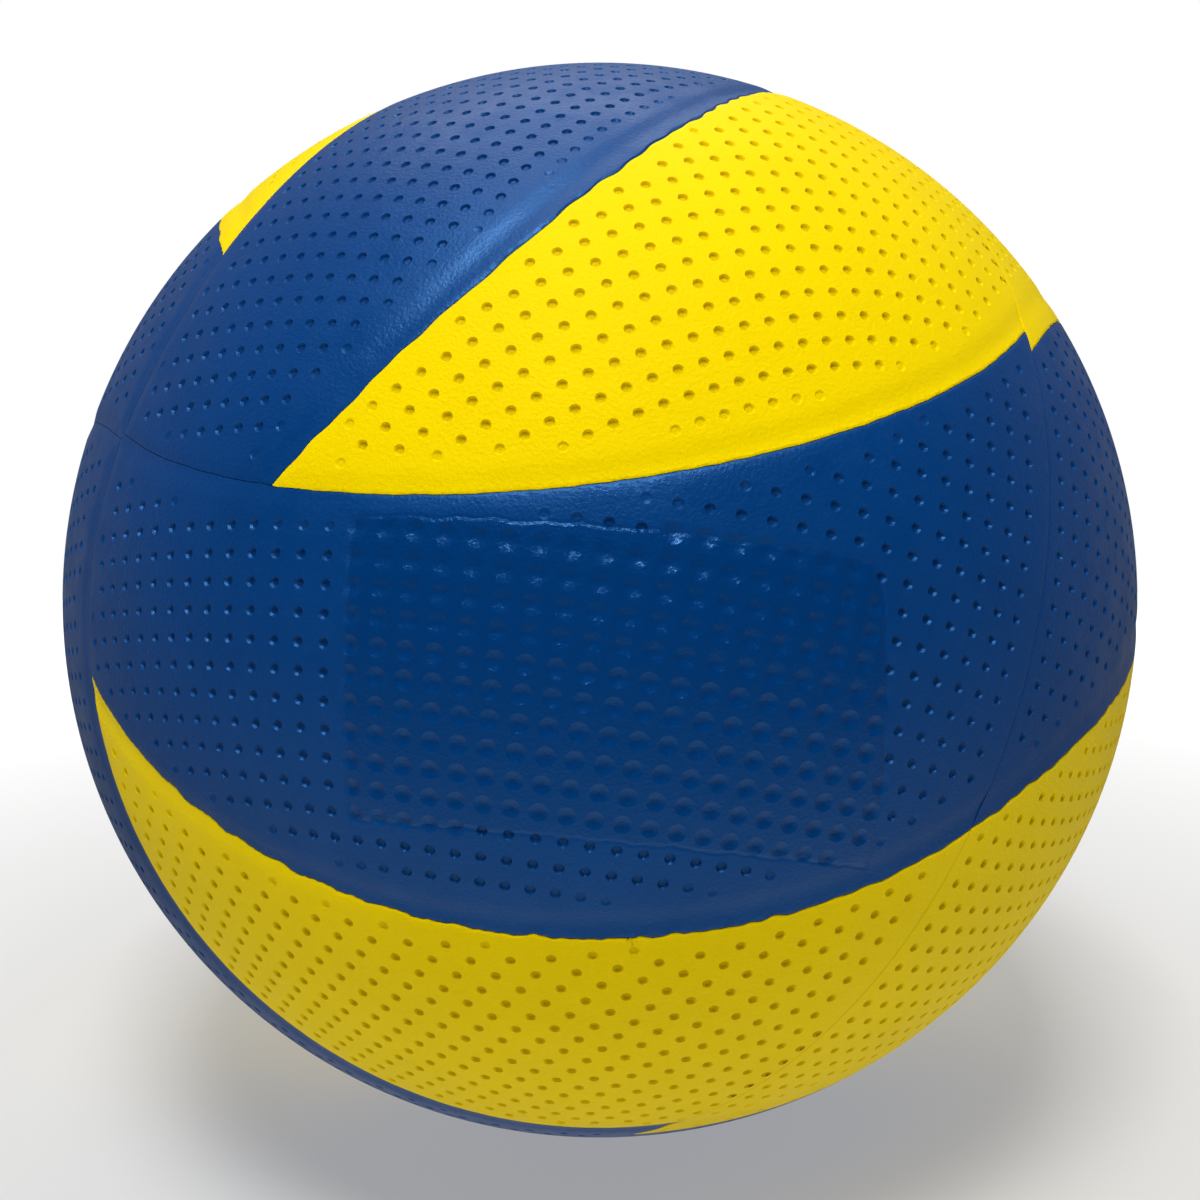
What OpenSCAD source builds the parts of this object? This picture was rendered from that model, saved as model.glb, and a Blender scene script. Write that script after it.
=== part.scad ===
// Indoor volleyball with a moulded cellular-rubber cover.
// Origin: centre of the ball. +Z up, -Y towards the viewer, +Y the valve.

/* [Ball] */
// Outside diameter of the ball
ball_d = 210; // [190:1:230]
// Thickness of the cellular-rubber cover sheets
cover_t = 3; // [2:0.1:4]
// Thickness of the rubber carcass under the cover
carcass_t = 0.4; // [0.3:0.1:1.6]
// Thickness of the wound nylon layer
winding_t = 0.4; // [0.3:0.1:1.4]
// Wall of the inflated bladder
bladder_t = 0.5; // [0.4:0.1:1.6]
// Bond line between one layer and the next
bond_gap = 0.2; // [0.1:0.05:0.3]
// Joint between two cover sheets
seam_gap = 0.1; // [0.05:0.01:0.3]

/* [Panel layout] */
// Compass direction of the broad blue pole, degrees from +X towards +Y
pole_azimuth = 217; // [0:1:359]
// Height of the broad blue pole over the horizon, degrees
pole_height = 21; // [-90:1:90]
// Turn of the layout about its own pole, degrees
layout_roll = 86; // [0:1:359]
// Angular radius of a panel's left edge circle, which runs through the pole, degrees
left_span = 54; // [52:0.5:56]
// Where that circle's centre lies round the pole, degrees
left_turn = 82; // [78:0.5:86]
// How far a panel's right edge circle leans from the pole, degrees
right_lean = 50; // [46:0.5:53]
// Where that circle's centre lies round the pole, degrees
right_turn = 143; // [139:0.5:146]
// Angular radius of the right edge circle, degrees
right_span = 67; // [64:0.5:69]
// Where the two half covers meet with their panels in line, degrees
fold_turn = 36; // [33:0.5:40]

/* [Valve] */
// Diameter of the valve's nose, seen in the cover
nose_d = 7; // [6:0.1:9]
// Diameter of the seat's body inside the bladder
body_d = 12; // [10:0.5:16]
// Diameter of the seat's flange
flange_d = 26; // [20:1:32]
// Thickness of the flange
flange_t = 1.2; // [0.8:0.1:2]
// Diameter of the reinforcing patch
patch_d = 40; // [34:1:50]
// Thickness of the reinforcing patch
patch_t = 0.8; // [0.5:0.1:1.4]
// Depth of the valve, from its mouth to the seat's inner end
valve_depth = 21; // [18:0.5:26]
// How deep the valve's mouth lies under the cover's surface
mouth_recess = 0.4; // [0.2:0.1:1]
// Diameter of the soft core inside the seat
core_d = 4.8; // [4.4:0.1:5.2]
// Diameter of the core's retaining rib
rib_d = 6; // [5.6:0.1:6.4]
// Height of the retaining rib
rib_h = 1.6; // [1:0.1:2.5]
// Length of the core's tapered inner tip
tip_l = 2.4; // [1.5:0.1:4]
// Diameter of the needle channel when no needle is in it
channel_d = 1.9; // [1.4:0.1:2.2]
// Closed lip left at the channel's inner end
lip_t = 1.5; // [1:0.1:3]
// Depth of the funnel that leads the needle in
funnel_t = 1; // [0.5:0.1:1.5]
// Diameter of the funnel at its mouth
funnel_d = 3.4; // [2.6:0.1:4]
// Clearance round the valve where it passes through the layers
pass_gap = 0.3; // [0.2:0.05:0.5]
// Clearance between the core and its seat
core_gap = 0.1; // [0.05:0.01:0.15]

/* [Hidden] */
front_names = [for (k = [1:4]) str("yellow_panel_", k, "_front"), for (k = [1:4]) str("blue_panel_", k, "_front")];
back_names = [for (k = [1:4]) str("yellow_panel_", k, "_back"), for (k = [1:4]) str("blue_panel_", k, "_back")];

$fn = 96;
blue = [0.03, 0.22, 0.47];
yellow = [0.96, 0.80, 0.02];
panels_round = 4;
panel_step = 360 / panels_round;

// Each cover sheet was laid in its mould by hand, a little off the regular layout.
// Degrees added to the left circle's turn and to the right circle's lean, turn and span.
front_lay_shares = [[-1, -4, -2.7, -2], [-0.8, -3.8, -2.5, -1.8], [0, -1, -1, -1], [2, 0.5, 1, 1.4]];
back_lay_shares = [[0, 2.4, -4.1, -2], [0.3, 1.6, -3, -1.6], [0, 1, -2, -1], [-0.2, 1.4, -3.2, -1.4]];

ball_r = ball_d / 2;
carcass_r = ball_r - cover_t - bond_gap;
winding_r = carcass_r - carcass_t - bond_gap;
bladder_r = winding_r - winding_t - bond_gap;
patch_r = bladder_r - bladder_t - bond_gap;
flange_r = patch_r - patch_t - bond_gap;

// Beyond the ball on every side
reach = 1.5 * ball_r;
// Where the spheres that a sheet is cut from have their own axis, clear of the sheet, degrees
axis_lean = 40;
axis_turn = 250;
equator_lean = 90;
// Where the line between two broad sheets turns inside a pointed one, in shares of the way
// from its tip to the equator
divide_shares = [0.2, 0.5];

mouth_r = ball_r - mouth_recess;
seat_end_r = mouth_r - valve_depth;
seat_bore_d = core_d + 2 * core_gap;
rib_groove_d = rib_d + 2 * core_gap;
rib_groove_h = rib_h + 2 * core_gap;
rib_r = flange_r - flange_t - rib_groove_h;
nose_hole_d = nose_d + 2 * pass_gap;
core_mouth_r = mouth_r - core_gap;
channel_end_r = seat_end_r + lip_t;
overrun = cover_t;

// Round wall, open only where the valve passes
module layer(r, t, hole_d) {
    difference() {
        sphere(r = r);
        sphere(r = r - t);
        on_valve() translate([0, 0, seat_end_r]) cylinder(d = hole_d, h = reach - seat_end_r);
    }
}

// Child's +Z becomes the valve's outward axis
module on_valve() {
    rotate([-90, 0, 0]) children();
}

// Child's +Z becomes the broad blue pole
module on_pole() {
    rotate([0, 90 - pole_height, pole_azimuth]) rotate([0, 0, layout_roll]) children();
}

// Turns a front half into the back half
module folded() {
    rotate([0, 0, fold_turn]) rotate([180, 0, 0]) rotate([0, 0, -fold_turn]) children();
}

function lay(table, k) = table[k % panels_round];

// Edge circles as lean from the pole, turn round it and angular radius
function left_circle(table, k) = [left_span, left_turn + lay(table, k)[0] + k * panel_step, left_span];
function right_circle(table, k) =
    [right_lean + lay(table, k)[1], right_turn + lay(table, k)[2] + k * panel_step, right_span + lay(table, k)[3]];

// All that an edge circle drawn on the ball holds, grown by grow on its rim
module edge_cone(circle, grow) {
    rotate([0, circle[0], circle[1]]) translate([0, 0, -grow / sin(circle[2])])
        cylinder(h = reach, r1 = 0, r2 = reach * tan(circle[2]));
}

// Unit vector to the centre of an edge circle
function heading(circle) =
    [sin(circle[0]) * cos(circle[1]), sin(circle[0]) * sin(circle[1]), cos(circle[0])];

// Unit vector to the upper of the two points where two edge circles cross
function crossing(a, b) =
    let (u = heading(a), v = heading(b), across = cross(u, v), share = u * v, rest = 1 - share * share)
    let (p = (cos(a[2]) - cos(b[2]) * share) / rest, q = (cos(b[2]) - cos(a[2]) * share) / rest)
    let (w = sqrt((1 - p * p - q * q - 2 * p * q * share) / rest) * sign(across[2]))
    p * u + q * v + w * across;

module wall(k, r, t) {
    rotate([0, axis_lean, axis_turn + k * panel_step]) difference() {
        sphere(r = r);
        sphere(r = r - t);
    }
}

// One half of the cover's wall
module half_wall(k) {
    intersection() {
        wall(k, ball_r, cover_t);
        translate([-reach, -reach, seam_gap / 2]) cube([2 * reach, 2 * reach, reach]);
    }
}

// What lies in a left edge circle and out of the right one: it has a point near the pole
module pointed(table, k, grow) {
    difference() {
        intersection() {
            children();
            edge_cone(left_circle(table, k), grow);
        }
        edge_cone(right_circle(table, k), -grow);
    }
}

module pointed_sheet(table, k) {
    pointed(table, k, -seam_gap / 2) half_wall(k);
}

// Turn round the pole at which an edge circle passes the given lean
function edge_turn(circle, lean) =
    let (share = (cos(circle[2]) - cos(lean) * cos(circle[0])) / (sin(lean) * sin(circle[0])))
    circle[1] - acos(min(1, max(-1, share)));
function middle_turn(table, k, lean) =
    (edge_turn(left_circle(table, k), lean) + edge_turn(right_circle(table, k), lean)) / 2;

// Line between two broad sheets, seen along the pole: from the pointed sheet's tip down its middle
function divide(table, k) =
    let (tip = crossing(left_circle(table, k), right_circle(table, k)), start = acos(tip[2]))
    let (end = middle_turn(table, k, equator_lean))
    [[tip[0], tip[1]] * (ball_r - cover_t),
        for (share = divide_shares)
            let (lean = start + share * (equator_lean - start), bend = middle_turn(table, k, lean))
            ball_r * sin(lean) * [cos(bend), sin(bend)],
        reach * [cos(end), sin(end)]];
function inset(p, side) =
    let (d = p / norm(p)) p + side * [-d[1], d[0]] * seam_gap / 2;

// Outline, seen along the pole, of all that lies between two pointed sheets' middles
module sector(table, k) {
    low = divide(table, k);
    high = divide(table, k + 1);
    last = len(low) - 1;
    crown = (low[0] / norm(low[0]) + high[0] / norm(high[0])) * seam_gap / 2;
    linear_extrude(height = reach)
        polygon([crown, inset(low[0], 1), for (i = [1:last]) low[i], low[last] + high[last],
            for (i = [last:-1:1]) high[i], inset(high[0], -1)]);
}

// Sheet that reaches the pole, between two pointed ones
module broad_sheet(table, k) {
    difference() {
        intersection() {
            half_wall(k);
            sector(table, k);
        }
        pointed(table, k, seam_gap / 2) wall(k, ball_r + cover_t, 3 * cover_t);
        pointed(table, k + 1, seam_gap / 2) wall(k, ball_r + cover_t, 3 * cover_t);
    }
}

module pierced() {
    difference() {
        children();
        on_valve() cylinder(d = nose_hole_d, h = reach);
    }
}

module front_yellow(k) { color(yellow) on_pole() pointed_sheet(front_lay_shares, k - 1); }
module front_blue(k) { color(blue) on_pole() broad_sheet(front_lay_shares, k - 1); }
module back_yellow(k) {
    color(yellow) pierced() on_pole() folded() broad_sheet(back_lay_shares, panels_round - k);
}
module back_blue(k) { color(blue) on_pole() folded() pointed_sheet(back_lay_shares, panels_round - k); }

module carcass() { color("dimgray") layer(carcass_r, carcass_t, nose_hole_d); }
module winding() { color("ivory") layer(winding_r, winding_t, nose_hole_d); }
module bladder() { color("black") layer(bladder_r, bladder_t, nose_hole_d); }

// Domed disc that lies against a round wall
module dome(r, t, d) {
    intersection() {
        difference() {
            sphere(r = r);
            sphere(r = r - t);
        }
        on_valve() cylinder(d = d, h = reach);
    }
}

module valve_patch() {
    color("darkslategray") difference() {
        dome(patch_r, patch_t, patch_d);
        on_valve() cylinder(d = nose_hole_d, h = reach);
    }
}

module valve_seat() {
    color("gray") difference() {
        union() {
            dome(flange_r, flange_t, flange_d);
            on_valve() translate([0, 0, seat_end_r])
                cylinder(d = body_d, h = flange_r - flange_t / 2 - seat_end_r);
            on_valve() translate([0, 0, flange_r - flange_t]) cylinder(d = nose_d, h = mouth_r - flange_r + flange_t);
        }
        on_valve() translate([0, 0, seat_end_r - overrun]) cylinder(d = seat_bore_d, h = reach);
        on_valve() translate([0, 0, rib_r - core_gap]) cylinder(d = rib_groove_d, h = rib_groove_h);
    }
}

module valve_core() {
    color("black") on_valve() difference() {
        union() {
            translate([0, 0, seat_end_r]) cylinder(d = core_d, h = core_mouth_r - seat_end_r);
            translate([0, 0, seat_end_r - tip_l]) cylinder(d1 = channel_d, d2 = core_d, h = tip_l);
            translate([0, 0, rib_r]) cylinder(d = rib_d, h = rib_h);
        }
        translate([0, 0, channel_end_r]) cylinder(d = channel_d, h = reach);
        translate([0, 0, core_mouth_r - funnel_t])
            cylinder(d1 = channel_d, d2 = funnel_d, h = funnel_t);
    }
}

for (k = [1:panels_round]) {
    front_yellow(k);
    front_blue(k);
    back_yellow(k);
    back_blue(k);
}
carcass();
winding();
bladder();
valve_patch();
valve_seat();
valve_core();
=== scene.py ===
"""Dimpled spiral volleyball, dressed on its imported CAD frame.

Sixteen moulded rubber sheets close round a carcass, a thread winding, a bladder and a valve.
Lengths in the settings are in metres and angles in degrees, in the frame of the CAD model.
"""

import math

import bpy
import numpy as np
from bpy.props import FloatProperty, FloatVectorProperty, PointerProperty
from mathutils import Euler, Matrix, Vector


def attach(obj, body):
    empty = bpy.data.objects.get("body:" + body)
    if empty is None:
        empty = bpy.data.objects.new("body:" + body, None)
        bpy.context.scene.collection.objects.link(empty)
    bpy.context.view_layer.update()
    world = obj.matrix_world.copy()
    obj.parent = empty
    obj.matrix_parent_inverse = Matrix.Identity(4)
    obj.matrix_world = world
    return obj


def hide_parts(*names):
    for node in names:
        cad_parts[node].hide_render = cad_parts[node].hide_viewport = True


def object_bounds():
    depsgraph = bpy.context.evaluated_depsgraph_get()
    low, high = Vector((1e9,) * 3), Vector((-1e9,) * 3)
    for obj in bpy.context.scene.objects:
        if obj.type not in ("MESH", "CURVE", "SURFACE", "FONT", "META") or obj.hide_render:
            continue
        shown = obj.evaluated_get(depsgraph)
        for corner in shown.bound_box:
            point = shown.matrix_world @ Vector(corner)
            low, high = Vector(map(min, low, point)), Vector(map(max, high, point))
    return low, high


bl_info = {
    "name": "Dimpled Volleyball",
    "version": (1, 0, 0),
    "blender": (4, 5, 0),
    "location": "3D View > Sidebar > Volleyball",
    "description": "Moulds the cover sheets of a volleyball, finishes its layers and valve, and lights it",
    "category": "Add Mesh",
}

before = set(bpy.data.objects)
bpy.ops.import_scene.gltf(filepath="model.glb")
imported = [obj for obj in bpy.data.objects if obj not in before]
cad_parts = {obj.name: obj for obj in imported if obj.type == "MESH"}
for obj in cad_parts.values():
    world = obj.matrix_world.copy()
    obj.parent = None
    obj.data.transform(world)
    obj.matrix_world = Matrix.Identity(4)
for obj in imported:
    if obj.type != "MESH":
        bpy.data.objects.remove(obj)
CAD_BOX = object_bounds()

PANELS_ROUND = 4
PANEL_STEP = 360 / PANELS_ROUND

# Edge circles of each sheet, degrees: lean, turn and span of its left edge, then of its right edge.
# The turn is counted from the sheet's own quarter of the ball.
FRONT_EDGES = (
    ((54.5, 81.03, 53.85), (46.05, 140.33, 64.98)),
    ((54.0, 81.2, 54.0), (50.0, 147.0, 66.8)),
    ((54.0, 82.0, 54.0), (49.0, 142.0, 66.0)),
    ((54.0, 84.0, 54.0), (50.5, 143.5, 68.4)),
)
BACK_EDGES = (
    ((54.0, 80.3, 54.0), (52.4, 137.7, 65.0)),
    ((54.0, 82.3, 54.0), (51.6, 140.0, 65.4)),
    ((54.0, 82.0, 54.0), (51.0, 141.0, 66.0)),
    ((54.0, 81.8, 54.0), (51.4, 139.8, 65.6)),
)

# Tilt, phase and turn, degrees, by which each panel's dimple grid sits off the mould's regular layout
YELLOW_GRIDS = ((0.6, 0.1, -0.4), (0.0, 0.35, -0.2), (0.0, 0.35, -0.2), (-0.7, 0.38, 0.0))
BLUE_GRIDS = ((0.23, 0.25, -0.58), (0.0, 0.35, -0.2), (0.0, 0.35, -0.2), (0.1, 0.67, 0.0))

# Cells of the mould's dimple grid: meridians and bands of the sphere that each sheet starts from
GRID_MERIDIANS = 148
GRID_BANDS = 81
CELL_PARTS = 6
HALF_CELL = CELL_PARTS // 2

# Cosine of the radius round a far corner of the layout in which a broad sheet's left circle doesn't cut
SPARED = math.cos(math.radians(8))

# How near a whole part of a cell a point lies that the cell's own grid put there
ON_GRID = 0.001

# Cells kept beyond a sheet's edge until it is cut, and reach of a cut and of a merge, metres
SPARE_CELLS = 1.6
CUT_REACH = 1e-7
MERGE_REACH = 2e-6

# Groove circles: radians over which one fades at another, half the stretch over which a left one sets
# in past the pole, and strength from which one leaves out dimples
GROOVE_FADE = math.radians(1.5)
GROOVE_START = 0.03
GROOVE_CLEARS = 0.3

# Radians from the pole at which the crown's soft relief starts to grow, and over which it grows
CROWN_R = 0.3
CROWN_FADE = 0.4

# Dimples: least share that is pressed, largest radius in cells, and share of the blank edge that is
# left beside the equator
LEAST_DIMPLE = 0.08
WIDEST_DIMPLE = 0.42
EQUATOR_BLANK = 0.75

# Dents in the film: shares of radius and of depth at the inner ring, and share of a dimple's painted shade
# that a dent keeps
DENT_RING = 0.48
DENT_RING_T = 0.72
DENT_SHADE_SHARE = 0.3

# Wander: phase and share on left and on right circles, phase on the film, radians over which it ends at
# another circle, and metres from the equator at which it sets in and over which it grows
LEFT_WANDER = (0.7, 0.2)
RIGHT_WANDER = (2.3, 0.8)
FILM_PHASE = 1.3
WANDER_FADE = math.radians(2)
WANDER_START = 0.0005
WANDER_RISE = 0.002

# Share of the faces that a sheet's hidden inner side keeps, and sharpest angle that shades smooth
HIDDEN_SHARE = 0.03
SMOOTH_ANGLE = math.radians(24)

# Waves of the soft wander in a hand-cut edge: share of its height, waves round the ball and phase
EDGE_WAVES = (
    (0.24, (61, 23, -47), 0.3),
    (0.22, (-38, 83, 51), 1.9),
    (0.24, (97, -71, 64), 4.1),
    (0.26, (-131, -118, 92), 2.6),
    (0.26, (171, 152, -203), 5.2),
    (0.22, (-290, 240, 210), 3.4),
)

# Corners of the bare smooth film on its panel's dimple grid: meridian and band, degrees
FILM_CORNERS = ((60.0, -8.2), (60.0, -32.0), (11.0, -29.4), (18.6, -5.7))

# Sheet that carries the film, and sheet that is holed for the valve
FILMED_SHEET = "blue_sheet_4_front"
HOLED_SHEET = "yellow_sheet_2_back"

# Headings of the layout's pole and side as the camera sees them
SEEN_POLE = (-0.7453, 0.2496, 0.6183)
SEEN_SIDE = (0.5848, -0.2006, 0.786)

# Place and width of each soft light, metres
OVERHEAD_LIGHT = ((-0.07, -0.46, 1.0), 0.36)
BEHIND_LIGHT = ((-0.06, 0.52, 1.0), 0.7)

# Parts of a direction over which the room brightens to the back, and the table top fades upwards and to
# the back, and share of the table top that is left there
ROOM_STRETCH = (-0.4, 0.5)
TABLE_STRETCH = (-0.8, -0.15)
TABLE_BACK_STRETCH = (-0.4, 0.25)
TABLE_BACK_SHARE = 0.35

# Noises of the cover rubber: scale, detail and roughness
CLOUDS = (45, 5, 0.6)
SPECKS = (900, 3, 0.6)
UNEVEN_SHINE = (140, 4, 0.65)
SLOW_WAVES = (110, 2)
PEBBLES = (1700, 3, 0.6)

# Bumps of the cover rubber: metres, and strength
CREASE_BUMP = (0.0002, 0.5)
SLOW_BUMP = (0.0006, 0.35)
PEBBLE_BUMP = 0.00022

# Tones under the film and of the painted shade in the pits, as shares of the deep tone, and roughness of
# the film
FILM_TONE = 0.95
PIT_SHADE_TONE = 0.5
FILM_ROUGHNESS = 0.28

# Leans and turns, degrees, of the layers of wound thread
THREAD_TURNS = ((0, 0), (52, 20), (52, 140), (52, 260), (90, 80), (90, 170))

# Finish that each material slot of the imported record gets
FINISH_NAMES = {
    "yellow_cover": "yellow_cellular_rubber",
    "blue_cover": "blue_cellular_rubber",
    "carcass": "vulcanised_rubber",
    "winding": "wound_thread",
    "bladder": "butyl_rubber",
    "valve_patch": "patch_rubber",
    "valve_seat": "seat_rubber",
    "valve_core": "core_rubber",
}


def metres(name, description, default):
    """Setting that is a length."""
    return FloatProperty(name=name, description=description, default=default, unit="LENGTH")


def fraction(name, description, default, most=1):
    """Setting between nothing and a most."""
    return FloatProperty(name=name, description=description, default=default, min=0, max=most)


def degrees(name, description, default):
    """Setting that is an angle."""
    return FloatProperty(name=name, description=description + ", degrees", default=default)


class BallSettings(bpy.types.PropertyGroup):
    """Sizes of the ball, its sheets and its mould."""

    ball_d: metres("Ball diameter", "Outside diameter of the blown-up ball", 0.2099)
    cover_t: metres("Cover thickness", "Thickness of each rubber sheet", 0.003)
    seam_gap: metres("Seam gap", "Gap between two neighbouring sheets", 0.0001)
    pole_azimuth: degrees("Pole azimuth", "Direction of the front pole round the ball", 217)
    pole_height: degrees("Pole height", "Direction of the front pole above level", 21)
    layout_roll: degrees("Layout roll", "Turn of the panel layout round its pole", 86)
    groove_left_span: degrees(
        "Left groove span", "Angular radius of the groove circle that runs through the pole", 54)
    fold_turn: degrees("Fold turn", "Axis about which the front layout folds to the back", 36)
    groove_left_turn: degrees("Left groove turn", "Turn of the mould's left groove circle", 82.25)
    groove_right_lean: degrees("Right groove lean", "Lean of the mould's right groove circle", 50.5)
    groove_right_turn: degrees("Right groove turn", "Turn of the mould's right groove circle", 148)
    groove_right_span: degrees("Right groove span", "Angular radius of the right groove circle", 70.34)
    groove_fold_turn: degrees(
        "Groove fold turn", "Axis about which the mould's grooves fold to the back", 38.85)
    groove_w: metres("Groove width", "Full width of the soft groove between two moulded panels", 0.0062)
    groove_t: metres("Groove depth", "Depth of the soft groove", 0.00032)
    crown_share: fraction("Crown groove share", "Share of the groove's depth that is left at the pole", 0.8)
    back_share: fraction("Back groove share", "Share of the groove's depth on the back half", 0.55)
    crown_seam_share: fraction(
        "Crown seam share", "Share of a rim's rounding that is left at the pole", 0.2)
    crevice_w: metres("Crevice width", "Width of the rounded rim of a sheet", 0.00032)
    crevice_t: metres("Crevice depth", "Depth to which a sheet's rim is rounded", 0.00018)
    parting_w: metres("Parting line width", "Half width of the line where the mould's halves met", 0.0004)
    parting_t: metres("Parting line depth", "Depth of the mould's parting line", 0.00005)
    ragged: metres("Edge wander", "How far a hand-cut edge wanders off its circle", 0.00045)
    ragged_reach: metres("Edge wander reach", "How far from the edge the rubber follows it", 0.0022)
    yellow_middle: degrees("Yellow panel middle", "Turn of the first yellow panel's dimple grid", 61.4)
    blue_middle: degrees("Blue panel middle", "Turn of the first blue panel's dimple grid", 106.3)
    band_pitch: degrees("Dimple pitch", "Angle between two dimples along a panel's middle", 2.2442)
    dimple_d: metres("Dimple diameter", "Diameter of a dimple at its rim", 0.0017)
    dimple_t: metres("Dimple depth", "Depth of a dimple at its middle", 0.00064)
    blue_dimple_share: fraction(
        "Blue dimple share", "Share of the dimple depth that the blue sheets have", 0.75)
    dimple_floor: fraction("Dimple floor", "Share of a dimple's width that its floor takes", 0.66)
    dimple_wall: fraction("Dimple wall", "Share of a dimple's depth that its wall takes", 0.8)
    blank_w: metres("Blank strip", "Undimpled width on each side of a groove's middle", 0.0037)
    blank_fade: metres("Blank fade", "Width beside the blank strip in which the dimples get deeper", 0.0028)
    faint_dimple: fraction("Faint dimple", "Share of the depth that the faintest dimples have", 0.3)
    blank_edge: metres("Blank edge", "Undimpled width inside a sheet's edge", 0.0021)
    film_wander: metres("Film border wander", "How far the film's border wanders", 0.0003)
    film_fade: metres("Film edge reach", "Distance from the film's border at which its mark is full", 0.003)
    film_crease_w: metres("Film crease width", "Half width of the crease along the film's border", 0.0008)
    film_crease_t: metres("Film crease depth", "Depth of the crease along the film's border", 0.00005)
    film_dent: fraction("Film dent radius", "Radius of the soft dent over a dimple, in cells", 0.36, 0.48)
    film_dent_t: metres("Film dent depth", "Depth of the soft dent over a dimple", 0.0005)
    valve_hole_d: metres("Valve hole diameter", "Hole in the cover round the valve's nose", 0.0076)
    valve_blank_d: metres("Valve blank diameter", "Smooth disc round the valve", 0.021)
    valve_lip: metres("Valve lip", "Rounding of the cover's hole round the valve", 0.0012)
    valve_lip_t: metres("Valve lip depth", "Depth of that rounding at the hole", 0.0004)


class BallColours(bpy.types.PropertyGroup):
    """Colours of the ball's rubbers and of the studio."""

    yellow: FloatVectorProperty(
        name="Yellow rubber", description="Colour of the yellow sheets", subtype="COLOR",
        default=(0.95, 0.70, 0.0))
    blue: FloatVectorProperty(
        name="Blue rubber", description="Colour of the blue sheets", subtype="COLOR",
        default=(0.0, 0.0445, 0.2))
    carcass: FloatVectorProperty(
        name="Carcass rubber", description="Colour of the vulcanised carcass", subtype="COLOR",
        default=(0.035, 0.035, 0.036))
    thread: FloatVectorProperty(
        name="Winding thread", description="Colour of the wound thread", subtype="COLOR",
        default=(0.72, 0.68, 0.55))
    bladder: FloatVectorProperty(
        name="Bladder rubber", description="Colour of the bladder", subtype="COLOR",
        default=(0.012, 0.012, 0.013))
    valve: FloatVectorProperty(
        name="Valve rubber", description="Colour of the valve's seat", subtype="COLOR",
        default=(0.02, 0.02, 0.021))
    core: FloatVectorProperty(
        name="Valve core rubber", description="Colour of the valve's soft core", subtype="COLOR",
        default=(0.008, 0.008, 0.009))
    floor: FloatVectorProperty(
        name="Floor", description="Colour of the studio floor", subtype="COLOR", default=(0.42, 0.42, 0.42))


class StudioSettings(bpy.types.PropertyGroup):
    """Camera and lights."""

    view_distance: metres("Camera distance", "From the ball's middle to the camera", 0.294)
    focal_px: FloatProperty(
        name="Focal length", description="Focal length in pixels of a 1200 pixel wide frame",
        default=1406.5)
    frame_px: FloatProperty(
        name="Frame width", description="Width of the frame in pixels", default=1200)
    key_power: FloatProperty(
        name="Overhead light", description="Power of the overhead soft light", default=12.6, unit="POWER")
    back_power: FloatProperty(
        name="Back light", description="Power of the soft light above and behind", default=2.4,
        unit="POWER")
    room: FloatProperty(
        name="Room brightness", description="Brightness of the dim room on the camera's side",
        default=0.015)
    room_back: FloatProperty(
        name="Room brightness behind", description="Brightness of the room behind the ball", default=0.23)
    table: FloatProperty(
        name="Table brightness", description="Brightness of the table top that the ball mirrors",
        default=1.12)
    floor_glow: FloatProperty(
        name="Floor brightness", description="Light that the floor gives off near the ball", default=0.33)
    backdrop: FloatProperty(
        name="Backdrop brightness", description="Brightness of the white backdrop", default=1.0)
    backdrop_r: metres("Backdrop radius", "Radius of the white shell that the camera sees", 5)
    floor_r: metres("Floor radius", "Radius of the round floor", 0.7)


def heading(lean, turn):
    """Unit vector that leans from the pole and turns round it, degrees, in the layout's frame."""
    a = math.radians(lean)
    b = math.radians(turn)
    return np.array([math.sin(a) * math.cos(b), math.sin(a) * math.sin(b), math.cos(a)])


def layout_to_ball(s):
    """Rotation from the layout's frame, its pole up, to the ball's frame."""
    return np.array(
        Matrix.Rotation(math.radians(s.pole_azimuth), 3, "Z")
        @ Matrix.Rotation(math.radians(90 - s.pole_height), 3, "Y")
        @ Matrix.Rotation(math.radians(s.layout_roll), 3, "Z"))


def fold(n, turn):
    """Turns a heading of the front layout into the back layout."""
    a = 2 * math.radians(turn)
    c = math.cos(a)
    d = math.sin(a)
    return np.array([c * n[0] + d * n[1], d * n[0] - c * n[1], -n[2]])


class Circle:
    """Circle on the ball: its unit heading and its angular radius, radians."""

    def __init__(self, n, span):
        self.n = n
        self.span = math.radians(span)

    def inside(self, v):
        """How far unit vectors lie inside the circle, radians."""
        return self.span - np.arccos(np.clip(v @ self.n, -1, 1))


class Edge:
    """Edge of a sheet: a circle, the side of it that is kept, and a place where it doesn't cut.

    The side is 1 for inside and -1 for outside.
    """

    def __init__(self, circle, side, spared=None):
        self.circle = circle
        self.side = side
        self.spared = spared

    def cuts(self, v):
        """Which unit vectors lie where the edge can cut."""
        if self.spared is None:
            return np.ones(len(v), bool)
        return v @ self.spared < SPARED

    def room(self, v):
        """How far unit vectors lie within the edge, radians."""
        return np.where(self.cuts(v), self.side * self.circle.inside(v), 1.0)


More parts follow.
